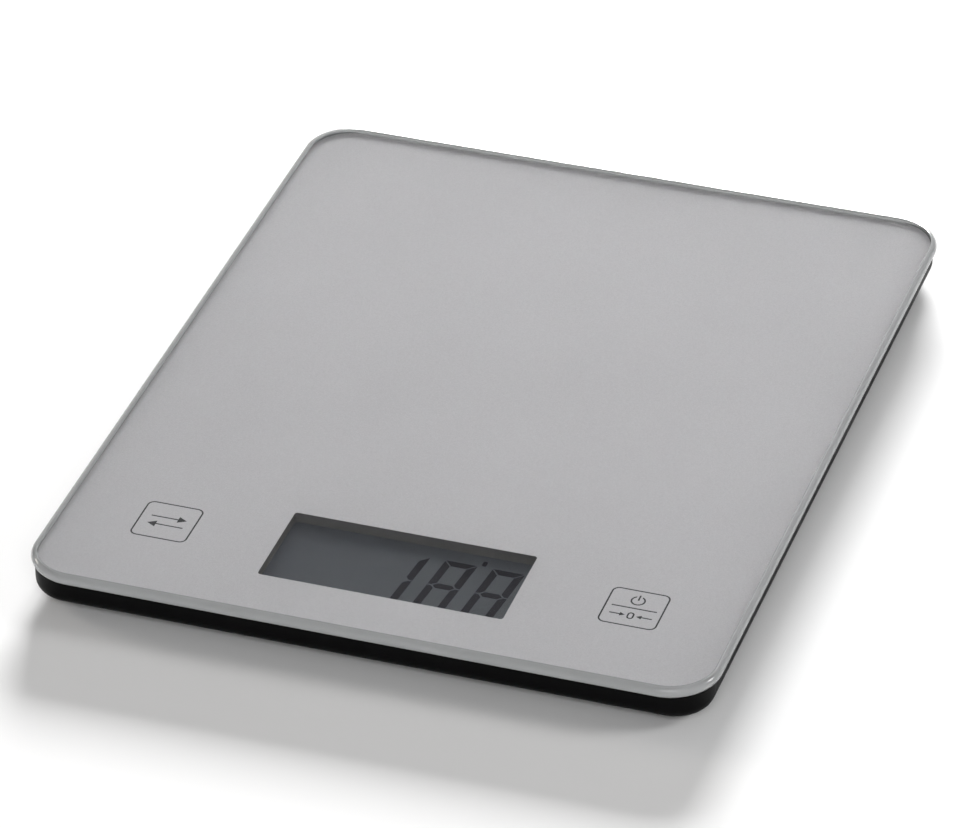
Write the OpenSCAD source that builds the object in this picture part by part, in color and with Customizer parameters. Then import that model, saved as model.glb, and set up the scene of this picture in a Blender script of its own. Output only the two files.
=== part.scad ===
// Slim kitchen scale: a printed glass platform bonded to a shallow tray,
// standing on four load-cell feet.  The origin is on the table, under the
// middle of the platform.  +Z is up and the display is at the -Y side.

/* [Platform] */
// Width of the glass plate, along X
plate_w = 170; // [150:1:200]
// Depth of the glass plate, along Y
plate_d = 212; // [190:1:240]
// Thickness of the glass plate
glass_t = 3; // [3:0.5:4]
// Corner radius of the glass plate, seen from above
plate_corner_r = 12.5; // [10:0.5:16]
// Thickness of each printed layer under the glass
print_t = 0.1; // [0.08:0.01:0.12]

/* [Display window] */
// Width of the display window
window_w = 60.8; // [56:0.1:61]
// Depth of the display window
window_d = 26.3; // [24:0.1:27]
// Distance from the plate's front edge to the window
window_front = 16.6; // [16:0.1:18]
// Corner radius of the window
window_r = 0.8; // [0.4:0.1:2]
// Height of one digit
digit_h = 20.6; // [16:0.1:21]
// Distance from one digit to the next
digit_pitch = 11.8; // [11:0.1:12]

/* [Touch fields] */
// Outer size of a touch field's printed frame
field_size = 14.3; // [12:0.1:16]
// Distance from the middle of the plate to the middle of each field
field_x = 58.25; // [56:0.25:62]
// Distance from the plate's front edge to the middle of each field
field_front = 30; // [28:0.5:34]
// Width of the printed lines
line_w = 0.4; // [0.3:0.05:0.5]
// Corner radius of the printed frame
field_r = 1.8; // [1:0.1:3]

/* [Tray] */
// How far the tray stands in from the plate's outline
tray_inset = 1.3; // [1:0.1:2]
// Depth of the tray below the underside of the glass
tray_h = 6.7; // [6.7:0.1:8]
// Radius of the tray's bottom edge
tray_edge_r = 3; // [2.5:0.1:3]
// Wall thickness of the tray
wall_t = 2; // [1.8:0.1:2.2]
// Floor thickness of the tray
floor_t = 1.4; // [1.3:0.1:1.5]

/* [Feet] */
// How far the feet stand out below the tray
foot_drop = 2.5; // [2:0.1:3]
// Distance from the middle to each foot, along X
foot_x = 62; // [60:0.5:63]
// Distance from the middle to each foot, along Y
foot_y = 84; // [82:0.5:85]
// Radius of a foot
foot_r = 11.5; // [10:0.1:12]
// Radius of a rubber pad
pad_r = 8.5; // [7:0.1:9.5]

/* [Battery] */
// Middle of the coin cell, along Y
battery_y = 40; // [36:1:44]
// Diameter of the coin cell
coin_d = 20; // [20:0.1:20.2]
// Thickness of the coin cell
coin_t = 3.2; // [3:0.1:3.2]
// Thickness of the battery door
door_t = 1.2; // [1:0.1:1.2]

/* [Hidden] */

$fn = 64;
facets_wire = 8;
eps = 0.01;

// Clearances
gap = 0.3;
running_gap = 0.05;
film_gap = 0.05;

// Heights above the table
tray_bottom_z = foot_drop;
glass_under_z = tray_bottom_z + tray_h;
print_under_z = glass_under_z - print_t;
floor_top_z = tray_bottom_z + floor_t;

// Platform
edge_r = glass_t / 2;
window_y = -plate_d / 2 + window_front + window_d / 2;
field_y = -plate_d / 2 + field_front;

// Bonding tape, in a ledge round the top of the tray
tape_t = 0.5;
tape_w = 5;
lip_w = 1;
ledge_z = print_under_z - tape_t;

// Tray
tray_w = plate_w - 2 * tray_inset;
tray_d = plate_d - 2 * tray_inset;
tray_corner_r = plate_corner_r - tray_inset - 1.8;
cavity_w = tray_w - 2 * wall_t;
cavity_d = tray_d - 2 * wall_t;
cavity_r = tray_corner_r - wall_t;
shelf_w = 3;
shelf_t = 1;
rib_t = 1;
rib_h = 1.3;
rib_x = 38;
rib_front_y = -50;
rib_back_y = cavity_d / 2;
cross_rib_ys = [0, 66];
pillar_r = 3.5;
pillar_places = [[-60, -20], [60, -20], [-60, 36], [60, 36]];

// Screws
screw_r = 0.9;
screw_hole_r = 0.95;
screw_head_r = 1.9;
screw_head_t = 0.9;
slot_w = 0.4;
slot_t = 0.35;
boss_r = 2.4;
screw_tip_z = floor_top_z - 0.4;

// Load cells
cell_w = 34;
cell_d = 28;
cell_t = 1.6;
cell_r = 3;
cell_z = floor_top_z + rib_h;
cell_top_z = cell_z + cell_t;
tongue_w = 9;
tongue_slot = 1.6;
tongue_half = 10;
cell_screw_x = 14;
cell_screw_y = 11;
stud_r = 1.4;
potting_w = 5;
potting_t = 0.8;
potting_x = 7;
corners = [[-1, -1], [1, -1], [-1, 1], [1, 1]];
cell_screw_places = [
    for (c = corners)
        for (s = corners)
            [c[0] * foot_x + s[0] * cell_screw_x, c[1] * foot_y + s[1] * cell_screw_y]
];

// Feet
foot_gap = 0.4;
flange_r = foot_r + 1.4;
flange_t = 0.6;
foot_opening_r = foot_r + foot_gap;
pad_t = 1.2;
pad_round = 0.4;
pad_seat = 0.5;

// Display stack, from the polariser's top face down
lcd_top_z = glass_under_z - 3;
polariser_t = 0.15;
lcd_glass_t = 0.7;
reflector_t = 0.25;
lcd_ledge = 2.8;
lcd_w = window_w + 5.2;
lcd_d = window_d + 4;
segment_t = 0.04;
segment_w = 1.9;
segment_gap = 0.24;
digit_w = 8;
digit_slant = 6;
last_digit_x = 23.5;
digit_top_gap = 4.0;
frame_wall = 2.5;
frame_ear_x = lcd_w / 2 + 4.2;
frame_ear_y = 11.75;
frame_ear_r = 2.8;
frame_ear_t = 1.2;
frame_screw_places = [for (c = corners) [c[0] * frame_ear_x, window_y + c[1] * frame_ear_y]];
lcd_under_z = lcd_top_z - polariser_t - 2 * lcd_glass_t - reflector_t;
plinth_w = 2;

// Circuit board
board_w = 68;
board_front_y = window_y + lcd_d / 2 + lcd_ledge + 1.8;
board_d = 35;
board_t = 1;
board_z = floor_top_z + 1.1;
board_top_z = board_z + board_t;
board_screw_x = 31;
board_screw_in = 2.6;
board_y = board_front_y + board_d / 2;
board_screw_places = [
    for (c = corners) [c[0] * board_screw_x, board_y + c[1] * (board_d / 2 - board_screw_in)]
];
chip_y = board_y + 1;
chip_r = 6;
chip_h = 1.3;

// Touch electrodes
electrode_t = 0.3;
electrode_tab = 2;
electrode_tab_t = 0.8;

// Battery bay and door
bay_half_w = coin_d / 2 + 3.3;
bay_wall = 1.2;
bay_front_y = battery_y - coin_d / 2 - 3.3;
hinge_y = battery_y + coin_d / 2 + 3;
hinge_r = 1.1;
hinge_z = tray_bottom_z + hinge_r;
bay_back_y = hinge_y + hinge_r + gap;
pin_r = 0.7;
pin_length = 2.2;
hinge_boss_w = 3.2;
hinge_boss_half_d = 2.2;
hinge_boss_h = 3.1;
coin_z = tray_bottom_z + door_t + 0.3;
coin_top_z = coin_z + coin_t;
contact_t = 0.25;
bay_ceiling_z = coin_top_z + contact_t + film_gap;
bay_ceiling_t = 0.8;
coin_ring_r = coin_d / 2 + 0.3;
coin_ring_t = 1.2;
tab_reach = bay_half_w + bay_wall + 3.5;
tab_w = 4;
bead_r = 0.25;
grip_w = 12;
grip_d = 3;
grip_t = 0.8;

// Wires
wire_r = 0.45;
wire_pitch = 1.1;
touch_wire_r = 0.4;
battery_wire_r = 0.5;
wire_start_x = foot_x - potting_x - potting_w / 2 - 0.35;
wire_start_z = cell_top_z + wire_r + 0.1;
front_lead_route = [
    [wire_start_x, -foot_y, wire_start_z],
    [48, -84, 7.35],
    [44.5, -79, 7.35],
    [43.6, -66, 7.1],
    [43, -54, 6.8],
    [39.5, -44.5, 6.7],
    [32, -42, 6.5]
];
back_lead_route = [
    [wire_start_x, foot_y, wire_start_z],
    [48, 84, 7.35],
    [45, 79, 7.35],
    [44, 70, 7.2],
    [44, 58, 6.6],
    [44, 40, 6.2],
    [44, 0, 6.2],
    [44, -20, 6.4],
    [40, -30, 6.5],
    [32, -32, 6.5]
];
touch_lead_route = [
    [field_x - field_size / 2, field_y, 8.4],
    [48, -75, 8.2],
    [46.8, -62, 8.1],
    [44, -54.5, 8],
    [38.5, -50, 7.3],
    [32, -48.5, 6.45]
];
battery_lead_route = [
    [tab_reach, battery_y, 7.05],
    [22, 38.5, 6.9],
    [24, 30, 6.3],
    [24, 4, 6.3],
    [23, -14, 6.4],
    [22, -25, 6.55]
];

// ---------- shared shapes ----------

// Rounded rectangle, centred
module rounded_rect(w, d, r) {
    hull_w = w / 2 - r;
    hull_d = d / 2 - r;
    union() {
        square([w, d - 2 * r], center = true);
        square([w - 2 * r, d], center = true);
        for (sx = [-1, 1]) {
            for (sy = [-1, 1]) {
                translate([sx * hull_w, sy * hull_d]) circle(r);
            }
        }
    }
}

// Rounded slab from z up
module slab(w, d, r, z, h) {
    translate([0, 0, z]) linear_extrude(h) rounded_rect(w, d, r);
}

// Round bar along the outline of a rounded rectangle
module edge_bar(w, d, corner_r, r, z) {
    run_x = w / 2 - corner_r;
    run_y = d / 2 - corner_r;
    for (side = [-1, 1]) {
        translate([-run_x, side * (d / 2 - r), z])
            rotate([0, 90, 0])
                cylinder(h = 2 * run_x, r = r);
        translate([side * (w / 2 - r), -run_y, z])
            rotate([-90, 0, 0])
                cylinder(h = 2 * run_y, r = r);
    }
    for (i = [0:3]) {
        mx = (i == 0 || i == 3) ? 1 : -1;
        my = (i < 2) ? 1 : -1;
        translate([mx * run_x, my * run_y, z])
            rotate([0, 0, 90 * i])
                rotate_extrude(angle = 90)
                    translate([corner_r - r, 0])
                        circle(r);
    }
}

// Cross-head screw, its head resting on z
module screw(z) {
    translate([0, 0, screw_tip_z]) cylinder(h = z - screw_tip_z + eps, r = screw_r);
    difference() {
        translate([0, 0, z]) cylinder(h = screw_head_t, r1 = screw_head_r, r2 = screw_head_r - 0.4);
        for (turn = [0, 90]) {
            translate([0, 0, z + screw_head_t - slot_t / 2 + eps])
                rotate([0, 0, turn])
                    cube([2 * screw_head_r - 1.2, slot_w, slot_t], center = true);
        }
    }
}

// ---------- wires ----------

function unit(v) = v / norm(v);
function spline_point(a, b, c, d, t) =
    0.5 * ((2 * b) + (c - a) * t + (2 * a - 5 * b + 4 * c - d) * t * t
    + (3 * b - a - 3 * c + d) * t * t * t);
function spline(p, steps) = [
    for (i = [0:len(p) - 2])
        for (k = [0:steps - 1])
            spline_point(p[max(i - 1, 0)], p[i], p[i + 1], p[min(i + 2, len(p) - 1)], k / steps),
    p[len(p) - 1]
];
function heading(p, i) = unit(p[min(i + 1, len(p) - 1)] - p[max(i - 1, 0)]);
function side_of(t) = unit(cross([0, 0, 1], t));
function shifted(p, shift) = [
    for (i = [0:len(p) - 1]) p[i] + shift * side_of(heading(p, i))
];
function ring(c, t, r) = [
    for (k = [0:facets_wire - 1])
        c + r * cos(360 * k / facets_wire) * side_of(t)
            + r * sin(360 * k / facets_wire) * cross(t, side_of(t))
];

// Closed tube of radius r along the points p
module tube(p, r) {
    n = facets_wire;
    rings = len(p);
    points = [for (i = [0:rings - 1]) each ring(p[i], heading(p, i), r)];
    sides = [
        for (i = [0:rings - 2])
            for (k = [0:n - 1])
                [i * n + k, (i + 1) * n + k, (i + 1) * n + (k + 1) % n, i * n + (k + 1) % n]
    ];
    first_cap = [for (k = [0:n - 1]) k];
    last_cap = [for (k = [n - 1:-1:0]) (rings - 1) * n + k];
    polyhedron(points, concat(sides, [first_cap, last_cap]));
}

// Wires side by side along a route, mirrored to the left for side = -1
module wires(route, count, r, side, steps) {
    path = spline(route, steps);
    for (k = [0:count - 1]) {
        shift = (k - (count - 1) / 2) * wire_pitch;
        mirror([side < 0 ? 1 : 0, 0, 0]) tube(shifted(path, shift), r);
    }
}

// ---------- platform ----------

module glass_plate() {
    color([0.75, 0.9, 0.86, 0.35]) {
        slab(plate_w - 2 * edge_r, plate_d - 2 * edge_r, plate_corner_r - edge_r, glass_under_z, glass_t);
        edge_bar(plate_w, plate_d, plate_corner_r, edge_r, glass_under_z + edge_r);
    }
}

// Outline of a printed frame
module field_frame() {
    difference() {
        rounded_rect(field_size, field_size, field_r);
        rounded_rect(field_size - 2 * line_w, field_size - 2 * line_w, field_r - line_w);
    }
}

// Arrow pointing along +X, its tail starting at the origin
module arrow(length, head) {
    translate([0, -line_w / 2]) square([length - head / 2, line_w]);
    translate([length, 0]) polygon([[0, 0], [-head, head * 0.55], [-head, -head * 0.55]]);
}

// Two opposed arrows: change the unit
module unit_symbol() {
    arrow_l = 9;
    arrow_head = 2.2;
    arrow_y = 1.5;
    translate([-arrow_l / 2, arrow_y]) arrow(arrow_l, arrow_head);
    translate([arrow_l / 2, -arrow_y]) rotate(180) arrow(arrow_l, arrow_head);
}

// Broken ring with a bar: switch off
module power_symbol() {
    symbol_r = 1.8;
    opening = 1.4;
    difference() {
        circle(symbol_r);
        circle(symbol_r - line_w);
        translate([-opening / 2, 0]) square([opening, symbol_r + 1]);
    }
    translate([-line_w / 2, 0.1]) square([line_w, symbol_r + 0.3]);
}

// Arrow to zero from each side: set to zero
module zero_symbol() {
    zero_w = 1.7;
    zero_h = 2.6;
    reach = 5.2;
    difference() {
        rounded_rect(zero_w, zero_h, zero_w / 2 - 0.01);
        rounded_rect(zero_w - 2 * line_w, zero_h - 2 * line_w, zero_w / 2 - line_w - 0.01);
    }
    translate([-reach, 0]) arrow(reach - zero_w / 2 - 0.5, 1.3);
    translate([reach, 0]) rotate(180) arrow(reach - zero_w / 2 - 0.5, 1.3);
}

// All the dark printing, flat
module legends() {
    divider_w = 11;
    upper_y = 3.1;
    lower_y = -3;
    translate([-field_x, field_y]) {
        field_frame();
        unit_symbol();
    }
    translate([field_x, field_y]) {
        field_frame();
        square([divider_w, line_w], center = true);
        translate([0, upper_y]) power_symbol();
        translate([0, lower_y]) zero_symbol();
    }
}

module window_shape(grow) {
    translate([0, window_y]) rounded_rect(window_w + 2 * grow, window_d + 2 * grow, window_r + grow);
}

module silver_print() {
    color([0.7, 0.7, 0.71])
        translate([0, 0, print_under_z])
            linear_extrude(print_t)
                difference() {
                    rounded_rect(plate_w - 2 * edge_r, plate_d - 2 * edge_r, plate_corner_r - edge_r);
                    window_shape(0);
                    legends();
                }
}

module legend_print() {
    color([0.25, 0.25, 0.26])
        translate([0, 0, print_under_z])
            linear_extrude(print_t)
                legends();
}

module window_film() {
    color([0.2, 0.21, 0.22, 0.5])
        translate([0, 0, print_under_z])
            linear_extrude(print_t)
                window_shape(0);
}

module bonding_tape() {
    tape_outer_w = tray_w - 2 * lip_w - 0.2;
    tape_outer_d = tray_d - 2 * lip_w - 0.2;
    tape_outer_r = tray_corner_r - lip_w - 0.1;
    color([0.12, 0.12, 0.12]) {
        difference() {
            slab(tape_outer_w, tape_outer_d, tape_outer_r, ledge_z, tape_t);
            slab(tape_outer_w - 2 * tape_w + 2.4, tape_outer_d - 2 * tape_w + 2.4,
                tape_outer_r - tape_w + 1.2, ledge_z - 1, tape_t + 2);
        }
        for (p = pillar_places) {
            translate([p[0], p[1], ledge_z]) cylinder(h = tape_t, r = pillar_r - 0.3);
        }
    }
}

// ---------- tray ----------

module tray_outside() {
    slab(tray_w, tray_d, tray_corner_r, tray_bottom_z + tray_edge_r,
         tray_h - tray_edge_r - print_t - film_gap);
    slab(tray_w - 2 * tray_edge_r, tray_d - 2 * tray_edge_r, tray_corner_r - tray_edge_r,
        tray_bottom_z, tray_edge_r + eps);
    edge_bar(tray_w, tray_d, tray_corner_r, tray_edge_r, tray_bottom_z + tray_edge_r);
}

module tray_hollow() {
    slab(cavity_w, cavity_d, cavity_r, floor_top_z, tray_h);
    slab(tray_w - 2 * lip_w, tray_d - 2 * lip_w, tray_corner_r - lip_w, ledge_z, tray_h);
}

// Shelf that widens the ledge for the tape
module tape_shelf() {
    difference() {
        slab(cavity_w + 0.2, cavity_d + 0.2, cavity_r + 0.1, ledge_z - shelf_t, shelf_t);
        slab(cavity_w - 2 * shelf_w, cavity_d - 2 * shelf_w, cavity_r - shelf_w,
             ledge_z - shelf_t - 1, shelf_t + 2);
    }
}

module tray_ribs() {
    for (side = [-1, 1]) {
        translate([side * rib_x - rib_t / 2, rib_front_y, floor_top_z - 0.5])
            cube([rib_t, rib_back_y - rib_front_y + 0.2, rib_h + 0.5]);
    }
    for (y = cross_rib_ys) {
        translate([-cavity_w / 2 - 0.2, y - rib_t / 2, floor_top_z - 0.5])
            cube([cavity_w + 0.4, rib_t, rib_h + 0.5]);
    }
    for (p = pillar_places) {
        translate([p[0], p[1], floor_top_z - 0.5])
            cylinder(h = ledge_z - floor_top_z + 0.5, r = pillar_r);
    }
}

// Screw bosses up to z1 at each of the places
module bosses(places, z1) {
    for (p = places) {
        translate([p[0], p[1], floor_top_z - 0.5]) cylinder(h = z1 - floor_top_z + 0.5, r = boss_r);
    }
}

module boss_holes() {
    for (p = concat(cell_screw_places, board_screw_places, frame_screw_places)) {
        translate([p[0], p[1], screw_tip_z - 0.1]) cylinder(h = tray_h, r = screw_hole_r);
    }
}

// Low frame that carries the display panel
module lcd_plinth() {
    translate([0, window_y, 0]) {
        difference() {
            slab(lcd_w, lcd_d, 1, floor_top_z - 0.5, lcd_under_z - floor_top_z + 0.5);
            slab(lcd_w - 2 * plinth_w, lcd_d - 2 * plinth_w, 0.5, floor_top_z - 0.6, 5);
        }
    }
}

module bay_box(grow, z0, z1) {
    translate([-bay_half_w - grow, bay_front_y - grow, z0])
        cube([2 * (bay_half_w + grow), bay_back_y - bay_front_y + 2 * grow, z1 - z0]);
}

// Ring that centres the coin cell, open at both sides for the contacts
module coin_ring() {
    difference() {
        translate([0, battery_y, tray_bottom_z + door_t + film_gap])
            cylinder(h = bay_ceiling_z - tray_bottom_z - door_t, r = coin_ring_r + coin_ring_t);
        translate([0, battery_y, 0]) cylinder(h = bay_ceiling_z, r = coin_ring_r);
        translate([0, battery_y - tab_w, 0]) cube([bay_half_w, 2 * tab_w, bay_ceiling_z - 0.01]);
    }
}

module tray() {
    color([0.05, 0.05, 0.055])
        difference() {
            union() {
                difference() {
                    tray_outside();
                    tray_hollow();
                }
                tape_shelf();
                tray_ribs();
                bosses(cell_screw_places, cell_z);
                bosses(board_screw_places, board_z);
                bosses(frame_screw_places, lcd_top_z);
                lcd_plinth();
                bay_box(bay_wall, floor_top_z - 0.5, bay_ceiling_z + bay_ceiling_t);
                for (side = [-1, 1]) {
                    translate([
                        side * (bay_half_w + hinge_boss_w / 2),
                        hinge_y,
                        tray_bottom_z + hinge_boss_h / 2 + 0.2
                    ])
                        cube([hinge_boss_w, 2 * hinge_boss_half_d, hinge_boss_h - 0.4], center = true);
                }
            }
            boss_holes();
            // foot openings
            for (c = corners) {
                translate([c[0] * foot_x, c[1] * foot_y, 0])
                    cylinder(h = floor_top_z + 1, r = foot_opening_r);
            }
            // battery bay, with the coin ring left standing
            difference() {
                bay_box(0, 0, bay_ceiling_z);
                coin_ring();
            }
            // hinge pin sockets
            for (side = [-1, 1]) {
                translate([side * (bay_half_w - 0.5), hinge_y, hinge_z])
                    rotate([0, side * 90, 0])
                        cylinder(h = pin_length + 0.4, r = pin_r + running_gap);
            }
            // slots for the contact tabs
            translate([-tab_reach, battery_y - tab_w / 2 - 0.1, coin_top_z - 0.1])
                cube([tab_reach, tab_w + 0.2, contact_t + 0.2]);
            translate([0, battery_y - tab_w / 2 - 0.1, coin_top_z - contact_t - 0.2])
                cube([tab_reach, tab_w + 0.2, contact_t + 0.2]);
            // finger recess in front of the door
            translate([0, bay_front_y, tray_bottom_z - eps])
                linear_extrude(grip_t)
                    rounded_rect(grip_w, 2 * grip_d, grip_d - 0.5);
        }
}

// ---------- weighing ----------

// Steel plate with a tongue that bends under the foot
module load_cell(c) {
    color([0.72, 0.73, 0.75])
        translate([c[0] * foot_x, c[1] * foot_y, 0])
            mirror([c[0] < 0 ? 1 : 0, 0, 0])
                difference() {
                    slab(cell_w, cell_d, cell_r, cell_z, cell_t);
                    for (k = [-1, 1]) {
                        translate([
                            -tongue_half,
                            k * (tongue_w + tongue_slot) / 2 - tongue_slot / 2,
                            cell_z - 1
                        ])
                            cube([2 * tongue_half, tongue_slot, cell_t + 2]);
                        for (m = [-1, 1]) {
                            translate([m * cell_screw_x, k * cell_screw_y, cell_z - 1])
                                cylinder(h = cell_t + 2, r = screw_r + 0.2);
                        }
                    }
                    translate([tongue_half - tongue_slot, -tongue_w / 2 - tongue_slot, cell_z - 1])
                        cube([tongue_slot, tongue_w + 2 * tongue_slot, cell_t + 2]);
                    translate([0, 0, cell_z - 1]) cylinder(h = cell_t + 2, r = stud_r + 0.1);
                }
}

module gauge_potting() {
    color([0.85, 0.86, 0.82])
        for (c = corners) {
            translate([c[0] * (foot_x - potting_x), c[1] * foot_y, 0])
                slab(potting_w, potting_w, 0.8, cell_top_z, potting_t);
        }
}

module cell_screws() {
    color([0.62, 0.62, 0.64])
        for (p = cell_screw_places) {
            translate([p[0], p[1], 0]) screw(cell_top_z);
        }
}

// Foot with a captive flange and a stud through the cell's tongue
module foot(c) {
    color([0.07, 0.07, 0.075])
        translate([c[0] * foot_x, c[1] * foot_y, 0])
            rotate_extrude()
                polygon([
                    [0, pad_t],
                    [pad_r + 0.1, pad_t],
                    [pad_r + 0.1, pad_t - pad_seat],
                    [foot_r - 0.8, pad_t - pad_seat],
                    [foot_r, pad_t - pad_seat + 0.8],
                    [foot_r, floor_top_z + 0.1],
                    [flange_r, floor_top_z + 0.1],
                    [flange_r, floor_top_z + 0.1 + flange_t],
                    [4, floor_top_z + 0.1 + flange_t],
                    [4, cell_z],
                    [stud_r, cell_z],
                    [stud_r, cell_top_z - 0.2],
                    [0, cell_top_z - 0.2]
                ]);
}

module foot_pad(c) {
    color([0.16, 0.16, 0.17])
        translate([c[0] * foot_x, c[1] * foot_y, 0])
            rotate_extrude()
                polygon([
                    [0, 0],
                    [pad_r - pad_round, 0],
                    [pad_r, pad_round],
                    [pad_r, pad_t],
                    [0, pad_t]
                ]);
}

module cell_leads(c) {
    color([0.75, 0.12, 0.1])
        wires(c[1] < 0 ? front_lead_route : back_lead_route, 3, wire_r, c[0], 5);
}

// ---------- circuit board ----------

module circuit_board() {
    color([0.1, 0.38, 0.2])
        difference() {
            translate([-board_w / 2, board_front_y, board_z]) cube([board_w, board_d, board_t]);
            for (p = board_screw_places) {
                translate([p[0], p[1], board_z - 1]) cylinder(h = board_t + 2, r = screw_r + 0.2);
            }
        }
}

module board_screws() {
    color([0.62, 0.62, 0.64])
        for (p = board_screw_places) {
            translate([p[0], p[1], 0]) screw(board_top_z);
        }
}

// Drop of epoxy over the bare chip
module chip_blob() {
    cap_r = (chip_r * chip_r + chip_h * chip_h) / (2 * chip_h);
    cap_angle = asin(chip_r / cap_r);
    steps = 8;
    color([0.06, 0.06, 0.06])
        translate([0, chip_y, board_top_z + chip_h - cap_r])
            rotate_extrude()
                polygon([
                    [0, cap_r - chip_h],
                    for (k = [steps:-1:0]) cap_r * [sin(cap_angle * k / steps), cos(cap_angle * k / steps)]
                ]);
}

module touch_chip() {
    chip_w = 4.9;
    chip_d = 3.9;
    leg_pitch = 1.27;
    color([0.1, 0.1, 0.1])
        translate([18, chip_y, board_top_z]) {
            translate([-chip_w / 2, -chip_d / 2, 0.15]) cube([chip_w, chip_d, 1.35]);
            for (k = [0:3]) {
                translate([(k - 1.5) * leg_pitch - 0.2, -chip_d / 2 - 1, 0]) cube([0.4, chip_d + 2, 0.2]);
            }
        }
}

// Resistors and capacitors in two rows
module small_parts() {
    color([0.7, 0.62, 0.5])
        for (row = [0, 1]) {
            for (k = [0:5]) {
                translate([-24 + k * 2.6, chip_y - 6 + row * 10, board_top_z]) cube([0.8, 1.6, 0.5]);
            }
        }
}

// ---------- display ----------

module lcd_panel() {
    panel_top_z = lcd_top_z - polariser_t;
    color([0.55, 0.6, 0.58])
        translate([0, window_y, 0]) {
            translate([-lcd_w / 2, -lcd_d / 2, panel_top_z - lcd_glass_t])
                cube([lcd_w, lcd_d, lcd_glass_t]);
            translate([-lcd_w / 2, -lcd_d / 2, panel_top_z - 2 * lcd_glass_t])
                cube([lcd_w, lcd_d + lcd_ledge, lcd_glass_t]);
        }
}

module lcd_polariser() {
    color([0.42, 0.44, 0.45])
        translate([-lcd_w / 2 + 0.5, window_y - lcd_d / 2 + 0.5, lcd_top_z - polariser_t])
            cube([lcd_w - 1, lcd_d - 1, polariser_t]);
}

module lcd_reflector() {
    color([0.7, 0.72, 0.7])
        translate([-lcd_w / 2 + 0.5, window_y - lcd_d / 2 + 0.5, lcd_under_z])
            cube([lcd_w - 1, lcd_d - 1, reflector_t]);
}

// Upper right upright of a digit, centred on the digit's middle
module upright() {
    x = digit_w / 2;
    y = digit_h / 2;
    polygon([
        [x, y - segment_gap],
        [x, segment_gap],
        [x - segment_w / 2, segment_gap],
        [x - segment_w, segment_w / 2 + segment_gap],
        [x - segment_w, y - segment_w - segment_gap]
    ]);
}

// Top bar of a digit, mitred to the uprights
module top_bar() {
    outer_x = digit_w / 2 - segment_gap;
    y = digit_h / 2;
    polygon([
        [-outer_x, y],
        [outer_x, y],
        [outer_x - segment_w, y - segment_w],
        [segment_w - outer_x, y - segment_w]
    ]);
}

// Pointed bar across the middle of a digit
module middle_bar() {
    tip_x = digit_w / 2 - segment_w * 0.7;
    half = segment_w / 2;
    polygon([
        [-tip_x, 0],
        [half - tip_x, half],
        [tip_x - half, half],
        [tip_x, 0],
        [tip_x - half, -half],
        [half - tip_x, -half]
    ]);
}

module digit_one() {
    upright();
    mirror([0, 1]) upright();
}

module digit_eight() {
    middle_bar();
    for (side = [0, 1])
        mirror([side, 0]) digit_one();
    for (side = [0, 1])
        mirror([0, side]) top_bar();
}

module lcd_segments() {
    digit_y = window_y + window_d / 2 - digit_top_gap - digit_h / 2;
    slant = [
        [1, tan(digit_slant), 0, 0],
        [0, 1, 0, 0],
        [0, 0, 1, 0],
        [0, 0, 0, 1]
    ];
    color([0.15, 0.15, 0.17])
        translate([0, digit_y, lcd_top_z])
            linear_extrude(segment_t) {
                translate([last_digit_x, 0]) multmatrix(slant) digit_eight();
                translate([last_digit_x - digit_pitch, 0]) multmatrix(slant) digit_eight();
                translate([last_digit_x - 2 * digit_pitch, 0]) multmatrix(slant) digit_one();
                translate([last_digit_x - digit_pitch / 2 + 0.5, digit_h / 2 + 1.3])
                    rounded_rect(1.1, 1.9, 0.4);
            }
}

// Flat film from the display's ledge up on to the board
module lcd_connector() {
    film_w = 54;
    film_t = 0.12;
    ledge_top_z = lcd_top_z - polariser_t - lcd_glass_t;
    start_y = window_y + lcd_d / 2 + 0.4;
    ledge_end_y = window_y + lcd_d / 2 + lcd_ledge - 0.4;
    land_y = board_front_y - 0.3;
    end_y = board_front_y + 2.4;
    color([0.8, 0.6, 0.25])
        translate([-film_w / 2, 0, 0])
            rotate([90, 0, 90])
                linear_extrude(film_w)
                    polygon([
                        [start_y, ledge_top_z],
                        [ledge_end_y, ledge_top_z],
                        [land_y, board_top_z],
                        [end_y, board_top_z],
                        [end_y, board_top_z + film_t],
                        [land_y - 0.1, board_top_z + film_t],
                        [ledge_end_y - 0.1, ledge_top_z + film_t],
                        [start_y, ledge_top_z + film_t]
                    ]);
}

// Grey frame that holds the panel down and walls in the window
module display_frame() {
    opening_grow = 0.3;
    color([0.66, 0.65, 0.63])
        difference() {
            translate([0, window_y, 0]) {
                slab(window_w + 2 * (opening_grow + frame_wall),
                     window_d + 2 * (opening_grow + frame_wall), 1.5,
                     lcd_top_z, print_under_z - film_gap - lcd_top_z);
                for (c = corners) {
                    translate([c[0] * frame_ear_x, c[1] * frame_ear_y, lcd_top_z])
                        cylinder(h = frame_ear_t, r = frame_ear_r);
                    translate([c[0] * (frame_ear_x - 3) - 3, c[1] * frame_ear_y - frame_ear_r, lcd_top_z])
                        cube([6, 2 * frame_ear_r, frame_ear_t]);
                }
            }
            translate([0, 0, lcd_top_z - 1]) linear_extrude(5) window_shape(opening_grow);
            for (p = frame_screw_places) {
                translate([p[0], p[1], lcd_top_z - 1]) cylinder(h = 4, r = screw_r + 0.2);
            }
        }
}

module frame_screws() {
    color([0.62, 0.62, 0.64])
        for (p = frame_screw_places) {
            translate([p[0], p[1], 0]) screw(lcd_top_z + frame_ear_t);
        }
}

// ---------- touch fields ----------

module touch_electrode(side) {
    color([0.8, 0.55, 0.35])
        translate([side * field_x, field_y, 0]) {
            slab(field_size, field_size, 1, print_under_z - electrode_t, electrode_t);
            translate([side < 0 ? field_size / 2 - electrode_tab : -field_size / 2, -electrode_tab / 2,
                print_under_z - electrode_t - electrode_tab_t])
                cube([electrode_tab, electrode_tab, electrode_tab_t + eps]);
        }
}

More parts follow.
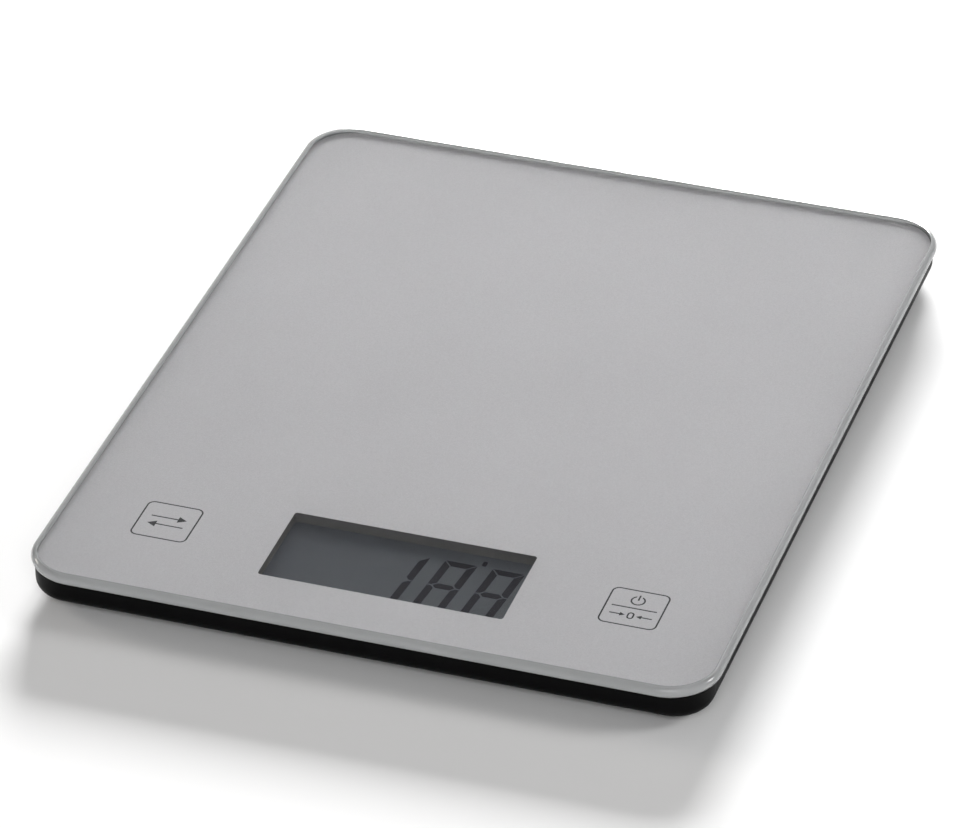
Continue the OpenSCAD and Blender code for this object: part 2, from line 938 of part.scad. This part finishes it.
module touch_leads() {
    color([0.85, 0.85, 0.85])
        for (side = [-1, 1]) {
            wires(touch_lead_route, 1, touch_wire_r, side, 4);
        }
}

// ---------- battery ----------

module battery_door() {
    door_w = 2 * (bay_half_w - gap);
    door_front_y = bay_front_y + gap;
    color([0.055, 0.055, 0.06]) {
        translate([-door_w / 2, door_front_y, tray_bottom_z])
            cube([door_w, hinge_y - door_front_y, door_t]);
        translate([-door_w / 2, hinge_y, hinge_z]) rotate([0, 90, 0]) cylinder(h = door_w, r = hinge_r);
        translate([-door_w / 2 - pin_length, hinge_y, hinge_z])
            rotate([0, 90, 0])
                cylinder(h = door_w + 2 * pin_length, r = pin_r);
        translate([-grip_w / 2, door_front_y, tray_bottom_z + door_t / 2])
            rotate([0, 90, 0])
                cylinder(h = grip_w, r = bead_r);
    }
}

module coin_cell() {
    can_t = coin_t - 0.35;
    color([0.78, 0.78, 0.79])
        translate([0, battery_y, coin_z]) {
            cylinder(h = can_t, r = coin_d / 2);
            cylinder(h = coin_t, r = coin_d / 2 - 1.2);
        }
}

// Spring plate against the side of the cell, its tab through the bay wall
module contact_positive() {
    plate_x = coin_d / 2 + 0.02;
    plate_h = coin_t - 0.8;
    color([0.8, 0.78, 0.7]) {
        translate([plate_x, battery_y - tab_w / 2, coin_top_z - 0.1 - plate_h])
            cube([contact_t, tab_w, plate_h]);
        translate([plate_x, battery_y - tab_w / 2, coin_top_z - 0.1 - contact_t])
            cube([tab_reach - plate_x, tab_w, contact_t]);
    }
}

// Leaf on the bay's ceiling, its tab through the bay wall
module contact_negative() {
    leaf_w = 12;
    color([0.8, 0.78, 0.7]) {
        translate([-leaf_w / 2, battery_y - leaf_w / 2, coin_top_z + 0.02])
            cube([leaf_w, leaf_w, contact_t]);
        translate([-tab_reach, battery_y - tab_w / 2, coin_top_z + 0.02])
            cube([tab_reach, tab_w, contact_t]);
    }
}

module battery_lead(side) {
    color(side > 0 ? [0.75, 0.1, 0.1] : [0.08, 0.08, 0.08])
        wires(battery_lead_route, 1, battery_wire_r, side, 5);
}

glass_plate();
silver_print();
legend_print();
window_film();
bonding_tape();
tray();
load_cell([-1, -1]);  // load_cell_fl
load_cell([1, -1]);  // load_cell_fr
load_cell([-1, 1]);  // load_cell_bl
load_cell([1, 1]);  // load_cell_br
gauge_potting();
cell_screws();
foot([-1, -1]);  // foot_fl
foot([1, -1]);  // foot_fr
foot([-1, 1]);  // foot_bl
foot([1, 1]);  // foot_br
foot_pad([-1, -1]);  // foot_pad_fl
foot_pad([1, -1]);  // foot_pad_fr
foot_pad([-1, 1]);  // foot_pad_bl
foot_pad([1, 1]);  // foot_pad_br
cell_leads([-1, -1]);  // cell_leads_fl
cell_leads([1, -1]);  // cell_leads_fr
cell_leads([-1, 1]);  // cell_leads_bl
cell_leads([1, 1]);  // cell_leads_br
circuit_board();
board_screws();
chip_blob();
touch_chip();
small_parts();
lcd_panel();
lcd_polariser();
lcd_reflector();
lcd_segments();
lcd_connector();
display_frame();
frame_screws();
touch_electrode(-1);  // touch_electrode_left
touch_electrode(1);  // touch_electrode_right
touch_leads();
battery_door();
coin_cell();
contact_positive();
contact_negative();
battery_lead(1);  // battery_lead_positive
battery_lead(-1);  // battery_lead_negative
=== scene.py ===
"""Looks for the slim glass kitchen scale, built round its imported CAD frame."""

import math

import bmesh
import bpy
from mathutils import Matrix, Vector


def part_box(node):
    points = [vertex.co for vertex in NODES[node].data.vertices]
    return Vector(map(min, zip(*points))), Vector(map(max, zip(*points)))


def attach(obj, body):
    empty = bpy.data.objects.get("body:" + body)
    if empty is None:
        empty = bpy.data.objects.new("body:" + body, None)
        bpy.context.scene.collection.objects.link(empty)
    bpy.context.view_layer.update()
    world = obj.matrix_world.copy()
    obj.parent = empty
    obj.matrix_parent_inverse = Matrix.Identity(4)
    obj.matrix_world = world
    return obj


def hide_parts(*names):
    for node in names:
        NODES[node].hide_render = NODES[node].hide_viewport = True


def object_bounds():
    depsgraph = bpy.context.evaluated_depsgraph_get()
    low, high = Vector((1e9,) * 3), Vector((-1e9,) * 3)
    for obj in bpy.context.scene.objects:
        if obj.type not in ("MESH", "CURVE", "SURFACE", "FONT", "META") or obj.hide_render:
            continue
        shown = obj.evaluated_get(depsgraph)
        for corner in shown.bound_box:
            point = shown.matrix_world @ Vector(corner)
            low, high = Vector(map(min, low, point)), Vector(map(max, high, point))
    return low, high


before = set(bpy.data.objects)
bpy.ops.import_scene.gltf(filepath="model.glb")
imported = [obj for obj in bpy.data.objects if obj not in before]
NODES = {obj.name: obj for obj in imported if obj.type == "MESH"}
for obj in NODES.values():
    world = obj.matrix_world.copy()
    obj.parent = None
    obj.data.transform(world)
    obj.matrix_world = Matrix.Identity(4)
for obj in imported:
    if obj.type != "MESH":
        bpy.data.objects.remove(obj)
CAD_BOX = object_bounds()

MM = 0.001


# ---------- camera ----------

CAMERA_AZIMUTH = math.radians(19.157)
CAMERA_ELEVATION = math.radians(34.119)
CAMERA_ROLL = math.radians(-0.964)
CAMERA_DISTANCE = 1.461
CAMERA_SHIFT_X = -3.676 * MM
CAMERA_SHIFT_Y = -5.136 * MM
CAMERA_CLIP = (0.05, 50)
SENSOR_WIDTH = 36.0
LENS = 220.82


def make_camera():
    """Camera at the photograph's viewing angle, aimed near the middle of the glass."""
    low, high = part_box("glass_plate")
    target = (low + high) / 2
    flat = math.cos(CAMERA_ELEVATION)
    back = Vector((
        math.sin(CAMERA_AZIMUTH) * flat,
        -math.cos(CAMERA_AZIMUTH) * flat,
        math.sin(CAMERA_ELEVATION)))
    right = Vector((math.cos(CAMERA_AZIMUTH), math.sin(CAMERA_AZIMUTH), 0))
    up = back.cross(right)
    rolled_right = math.cos(CAMERA_ROLL) * right + math.sin(CAMERA_ROLL) * up
    rolled_up = math.cos(CAMERA_ROLL) * up - math.sin(CAMERA_ROLL) * right
    data = bpy.data.cameras.new("camera")
    data.sensor_width = SENSOR_WIDTH
    data.lens = LENS
    data.clip_start, data.clip_end = CAMERA_CLIP
    camera = bpy.data.objects.new("camera", data)
    bpy.context.scene.collection.objects.link(camera)
    aim = target + CAMERA_SHIFT_X * rolled_right + CAMERA_SHIFT_Y * rolled_up
    place = aim + CAMERA_DISTANCE * back
    turn = Matrix((rolled_right, rolled_up, back)).transposed()
    camera.matrix_world = Matrix.Translation(place) @ turn.to_4x4()
    bpy.context.scene.camera = camera


# ---------- material helpers ----------

class Shader:
    """A node material with a Principled BSDF, and short ways to add detail to it."""

    def __init__(self, name, colour, roughness=0.5, metallic=0.0, specular=0.5):
        self.material = bpy.data.materials.new(name)
        self.material.use_nodes = True
        self.tree = self.material.node_tree
        self.bsdf = self.tree.nodes["Principled BSDF"]
        self.coords = self.tree.nodes.new("ShaderNodeTexCoord").outputs["Object"]
        self.set("Base Color", (*colour, 1))
        self.set("Roughness", roughness)
        self.set("Metallic", metallic)
        self.set("Specular IOR Level", specular)

    def set(self, socket, value):
        self.bsdf.inputs[socket].default_value = value

    def link(self, a, b):
        self.tree.links.new(a, b)

    def noise(self, scale, detail=3.0, stretch=(1, 1, 1)):
        """Noise from 0 to 1 in object space; scale is features per metre."""
        mapping = self.tree.nodes.new("ShaderNodeMapping")
        mapping.inputs["Scale"].default_value = stretch
        self.link(self.coords, mapping.inputs["Vector"])
        node = self.tree.nodes.new("ShaderNodeTexNoise")
        node.inputs["Scale"].default_value = scale
        node.inputs["Detail"].default_value = detail
        self.link(mapping.outputs["Vector"], node.inputs["Vector"])
        return node.outputs["Fac"]

    def ramp(self, fac, low, high, start=0.3, end=0.7):
        """Maps fac between two colours or two grey levels."""
        node = self.tree.nodes.new("ShaderNodeValToRGB")
        for element, place, value in zip(node.color_ramp.elements, (start, end), (low, high)):
            colour = value if isinstance(value, tuple) else (value, value, value)
            element.position = place
            element.color = (*colour, 1)
        self.link(fac, node.inputs["Fac"])
        return node.outputs["Color"]

    def multiply(self, a, b):
        """Product of two colours."""
        node = self.tree.nodes.new("ShaderNodeMix")
        node.data_type = "RGBA"
        node.blend_type = "MULTIPLY"
        node.inputs["Factor"].default_value = 1
        self.link(a, node.inputs["A"])
        self.link(b, node.inputs["B"])
        return node.outputs["Result"]

    def vary_colour(self, scale, low, high):
        self.link(self.ramp(self.noise(scale), low, high), self.bsdf.inputs["Base Color"])
        return self

    def vary_roughness(self, scale, low, high):
        self.link(self.ramp(self.noise(scale), low, high), self.bsdf.inputs["Roughness"])
        return self

    def bump(self, scale, height, stretch=(1, 1, 1)):
        """Fine relief; height is in metres."""
        node = self.tree.nodes.new("ShaderNodeBump")
        node.inputs["Distance"].default_value = height
        self.link(self.noise(scale, 2.0, stretch), node.inputs["Height"])
        self.link(node.outputs["Normal"], self.bsdf.inputs["Normal"])
        return self


def dress(shader, *names):
    """Gives CAD nodes or pieces, by name, this material."""
    for name in names:
        mesh = bpy.data.objects[name].data
        mesh.materials.clear()
        mesh.materials.append(shader.material)


# ---------- materials ----------

GLASS_IOR = 1.52


def silver_ink():
    """Silver ink behind the glass: fine flakes, and a slow drift in tone."""
    ink = Shader("silver_ink", (0.58, 0.57, 0.585), roughness=0.5, metallic=0.15)
    flakes = ink.ramp(ink.noise(3200, 2), (0.555, 0.545, 0.56), (0.62, 0.61, 0.625))
    drift = ink.ramp(ink.noise(22, 2), 0.97, 1.0)
    ink.link(ink.multiply(flakes, drift), ink.bsdf.inputs["Base Color"])
    ink.vary_roughness(1800, 0.42, 0.58)
    return ink


def legend_ink():
    ink = Shader("legend_ink", (0.05, 0.05, 0.055), roughness=0.6)
    return ink.vary_colour(2500, (0.022, 0.022, 0.025), (0.034, 0.034, 0.038))


def smoke_film():
    """Transparent smoke ink over the display window."""
    film = Shader("smoke_film", (0.012, 0.012, 0.014), roughness=0.5, specular=0.0)
    film.vary_colour(900, (0.010, 0.010, 0.012), (0.014, 0.014, 0.016))
    film.set("Alpha", 0.22)
    return film


def plate_glass(name, tint, transmission, smooth, rough):
    """Float glass: fully clear for the faces, or satin grey for the ground edge."""
    glass = Shader(name, tint, roughness=smooth)
    glass.set("Transmission Weight", transmission)
    glass.set("IOR", GLASS_IOR)
    glass.vary_roughness(300, smooth, rough)
    return glass


def moulded_plastic(name, dark, light, grain, height, smooth, rough, specular=0.4):
    """Spark-textured moulded plastic."""
    plastic = Shader(name, dark, roughness=rough, specular=specular)
    plastic.vary_colour(180, dark, light)
    plastic.vary_roughness(420, smooth, rough)
    return plastic.bump(grain, height)


def brushed_metal(name, dark, light, rough=0.32, stretch=(1, 12, 1)):
    """Metal with fine lines where stretch is uneven."""
    metal = Shader(name, light, roughness=rough, metallic=1.0)
    lines = metal.ramp(metal.noise(700, 4, stretch), dark, light)
    metal.link(lines, metal.bsdf.inputs["Base Color"])
    metal.vary_roughness(500, rough - 0.08, rough + 0.1)
    return metal.bump(1500, 0.01 * MM, stretch=stretch)


def printed_colour(name, dark, light, scale, rough=0.4):
    """Small coloured parts: insulation, solder mask, film, ceramic."""
    paint = Shader(name, light, roughness=rough)
    paint.vary_colour(scale, dark, light)
    return paint.vary_roughness(scale * 2, rough - 0.07, rough + 0.07)


# ---------- glass ----------

CORNER_STEPS = 32
EDGE_STEPS = 20
INK_CONTACT = 0.03 * MM
PLATE_CORNER_R = 12.5 * MM


def rounded_outline(half_x, half_y, radius, steps):
    """Points and outward directions round a rounded rectangle, anticlockwise."""
    found = []
    for quarter, (sx, sy) in enumerate(((1, 1), (-1, 1), (-1, -1), (1, -1))):
        for k in range(steps + 1):
            angle = math.radians(90) * (quarter + k / steps)
            out = Vector((math.cos(angle), math.sin(angle), 0))
            centre = Vector((sx * (half_x - radius), sy * (half_y - radius), 0))
            found.append((centre + radius * out, out))
    return found


def new_object(name, bm, shader):
    mesh = bpy.data.meshes.new(name)
    bm.to_mesh(mesh)
    bm.free()
    mesh.materials.append(shader.material)
    piece = bpy.data.objects.new(name, mesh)
    bpy.context.scene.collection.objects.link(piece)
    return piece


def make_glass(clear, ground):
    """Glass plate with a half-round ground edge. Its underside reaches a hair into
    the ink, so that no air shows between them."""
    low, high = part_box("glass_plate")
    bottom = low.z - INK_CONTACT
    radius = (high.z - bottom) / 2
    middle = (high.z + bottom) / 2
    outline = rounded_outline(high.x, high.y, PLATE_CORNER_R, CORNER_STEPS)
    bm = bmesh.new()
    rings = []
    normals = []
    for k in range(EDGE_STEPS + 1):
        lean = math.radians(-90 + 180 * k / EDGE_STEPS)
        ring = []
        for point, out in outline:
            place = point - out * radius * (1 - math.cos(lean))
            place.z = middle + radius * math.sin(lean)
            ring.append(bm.verts.new(place))
            normals.append(out * math.cos(lean) + Vector((0, 0, math.sin(lean))))
        rings.append(ring)
    count = len(outline)
    for lower, upper in zip(rings, rings[1:]):
        for i in range(count):
            j = (i + 1) % count
            bm.faces.new((lower[i], lower[j], upper[j], upper[i])).material_index = 1
    bm.faces.new(rings[-1])
    bm.faces.new(list(reversed(rings[0])))
    for face in bm.faces:
        face.smooth = True
    piece = new_object("glass_plate_ground_edge", bm, clear)
    piece.data.materials.append(ground.material)
    piece.data.normals_split_custom_set_from_vertices(normals)
    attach(piece, "platform")
    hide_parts("glass_plate")


# ---------- studio ----------

FLOOR_REACH = 4.0
WORLD_STRENGTH = 0.15
WARM_WHITE = (1, 0.93, 0.86)


def add_softbox(name, place, target, size_x, size_y, power, colour=(1, 1, 1)):
    """Rectangular area light at place, facing target."""
    data = bpy.data.lights.new(name, "AREA")
    data.shape = "RECTANGLE"
    data.size = size_x
    data.size_y = size_y
    data.energy = power
    data.color = colour
    light = bpy.data.objects.new(name, data)
    bpy.context.scene.collection.objects.link(light)
    light.location = place
    light.rotation_mode = "QUATERNION"
    light.rotation_quaternion = (Vector(place) - target).to_track_quat("Z", "Y")


def make_floor():
    bm = bmesh.new()
    bmesh.ops.create_grid(bm, x_segments=8, y_segments=8, size=FLOOR_REACH)
    paper = Shader("studio_paper", (0.9, 0.9, 0.9), roughness=0.9, specular=0.1)
    paper.vary_colour(3, (0.89, 0.89, 0.89), (0.91, 0.91, 0.91))
    floor = new_object("studio_floor", bm, paper)
    floor.location.z = CAD_BOX[0].z


def make_world():
    world = bpy.data.worlds.new("studio")
    world.use_nodes = True
    background = world.node_tree.nodes["Background"]
    background.inputs["Color"].default_value = (1, 1, 1, 1)
    background.inputs["Strength"].default_value = WORLD_STRENGTH
    bpy.context.scene.world = world


def make_lights():
    low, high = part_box("glass_plate")
    target = (low + high) / 2
    add_softbox("key_back", (-0.42, 2.1, 0.66), target, 0.8, 0.4, 125)
    add_softbox("front_fill", (0.5, -1.6, 1.3), target, 1.2, 0.8, 15)
    add_softbox("corner_right", (1.6, 0.45, 0.92), target, 0.5, 0.5, 11)
    add_softbox("corner_left", (-1.9, 0.27, 0.75), target, 0.5, 0.5, 7, WARM_WHITE)


# ---------- dressing ----------

def nodes_starting(start):
    return [name for name in NODES if name.startswith(start)]


def dress_plate():
    make_glass(
        plate_glass("clear_glass", (0.99, 1, 0.995), 1, 0.0, 0.01),
        plate_glass("ground_glass", (0.4, 0.41, 0.412), 0.35, 0.09, 0.14))
    dress(silver_ink(), "silver_print")
    dress(legend_ink(), "legend_print")
    dress(smoke_film(), "window_film")
    foam = moulded_plastic(
        "tape_foam", (0.018, 0.018, 0.018), (0.028, 0.028, 0.028),
        grain=2400, height=0.05 * MM, smooth=0.8, rough=0.95)
    dress(foam, "bonding_tape")


def dress_shell():
    shell = moulded_plastic(
        "tray_plastic", (0.002, 0.002, 0.0022), (0.0035, 0.0035, 0.0038),
        grain=3800, height=0.012 * MM, smooth=0.38, rough=0.5, specular=0.06)
    dress(shell, "tray", "battery_door")


def dress_weighing():
    foot = moulded_plastic(
        "foot_plastic", (0.010, 0.010, 0.011), (0.016, 0.016, 0.017),
        grain=3000, height=0.012 * MM, smooth=0.42, rough=0.55)
    pad = moulded_plastic(
        "pad_rubber", (0.03, 0.03, 0.032), (0.045, 0.045, 0.047),
        grain=1500, height=0.03 * MM, smooth=0.75, rough=0.9)
    dress(foot, *nodes_starting("foot_"))
    dress(pad, *nodes_starting("foot_pad_"))
    cell = brushed_metal("cell_steel", (0.42, 0.43, 0.45), (0.56, 0.57, 0.59))
    dress(cell, *nodes_starting("load_cell_"))
    dress(printed_colour("potting", (0.58, 0.6, 0.53), (0.7, 0.72, 0.65), 900, 0.35), "gauge_potting")


def dress_screws():
    screw = brushed_metal("screw_steel", (0.40, 0.40, 0.41), (0.52, 0.52, 0.53), 0.25, (1, 1, 1))
    dress(screw, "cell_screws", "board_screws", "frame_screws")


def dress_wires():
    red = printed_colour("lead_red", (0.42, 0.015, 0.012), (0.52, 0.025, 0.02), 700)
    black = printed_colour("lead_black", (0.010, 0.010, 0.010), (0.018, 0.018, 0.018), 700)
    white = printed_colour("lead_white", (0.55, 0.55, 0.52), (0.68, 0.68, 0.65), 700)
    dress(red, "battery_lead_positive", *nodes_starting("cell_leads_"))
    dress(black, "battery_lead_negative")
    dress(white, "touch_leads")


def dress_electronics():
    board = printed_colour("board_green", (0.010, 0.105, 0.035), (0.018, 0.15, 0.055), 1200, 0.3)
    chip = printed_colour("chip_black", (0.009, 0.009, 0.010), (0.016, 0.016, 0.017), 1500, 0.5)
    ceramic = printed_colour("part_ceramic", (0.32, 0.23, 0.14), (0.45, 0.34, 0.23), 2500, 0.45)
    copper = brushed_metal("electrode_copper", (0.55, 0.27, 0.14), (0.68, 0.36, 0.2))
    dress(board, "circuit_board")
    dress(chip, "chip_blob", "touch_chip")
    dress(ceramic, "small_parts")
    dress(copper, "touch_electrode_left", "touch_electrode_right")


def dress_display():
    surround = moulded_plastic(
        "frame_plastic", (0.42, 0.4, 0.39), (0.47, 0.445, 0.435),
        grain=3800, height=0.01 * MM, smooth=0.5, rough=0.6)
    panel = printed_colour("lcd_glass", (0.3, 0.35, 0.33), (0.38, 0.42, 0.4), 300, 0.12)
    polariser = printed_colour("polariser", (0.29, 0.315, 0.37), (0.315, 0.34, 0.395), 260, 0.4)
    reflector = printed_colour("reflector", (0.42, 0.44, 0.42), (0.5, 0.52, 0.5), 1400, 0.35)
    segments = printed_colour("segment_dark", (0.022, 0.022, 0.045), (0.03, 0.03, 0.058), 1800, 0.4)
    film = printed_colour("connector_film", (0.42, 0.2, 0.035), (0.55, 0.3, 0.07), 500, 0.3)
    dress(surround, "display_frame")
    dress(panel, "lcd_panel")
    dress(polariser, "lcd_polariser")
    dress(reflector, "lcd_reflector")
    dress(segments, "lcd_segments")
    dress(film, "lcd_connector")


def dress_battery():
    contact = brushed_metal("contact_metal", (0.48, 0.45, 0.36), (0.6, 0.56, 0.46))
    coin = brushed_metal("coin_steel", (0.52, 0.52, 0.53), (0.64, 0.64, 0.65), 0.22, (1, 4, 1))
    dress(contact, "contact_positive", "contact_negative")
    dress(coin, "coin_cell")


# ---------- build ----------

make_camera()
make_world()
make_lights()
make_floor()

dress_plate()
dress_shell()
dress_weighing()
dress_screws()
dress_wires()
dress_electronics()
dress_display()
dress_battery()

bpy.context.scene.view_settings.view_transform = "Standard"
